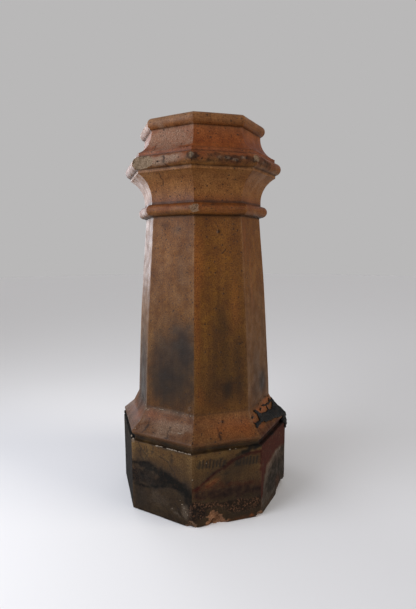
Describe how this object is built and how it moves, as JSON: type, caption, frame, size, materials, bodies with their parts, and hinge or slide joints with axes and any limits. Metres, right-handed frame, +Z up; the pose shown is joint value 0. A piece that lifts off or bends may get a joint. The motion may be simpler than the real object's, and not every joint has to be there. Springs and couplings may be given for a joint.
{
  "type": "chimney pot",
  "caption": "Octagonal terracotta chimney pot with a square-cut foot, sloping skirt, tapering shaft and roll-moulded cornice, open from end to end, weathered and chipped.",
  "frame": {"origin": "middle of the underside of the foot, on the flue's axis", "axes": "+Z up along the flue; the flats face +X, -X, +Y, -Y and the diagonals; -Y is the flat that shows at the front right of the picture"},
  "size_m": [0.4071, 0.402, 0.914],
  "materials": {
    "terracotta": "fired clay with a thin worn salt sheen, soot and orange flashes",
    "bitumen": "old brittle roofing bitumen, near black, dull with glossy breaks"
  },
  "bodies": {
    "root": {"chimney_pot": "terracotta", "bitumen_patch": "bitumen"}
  },
  "joints": []
}
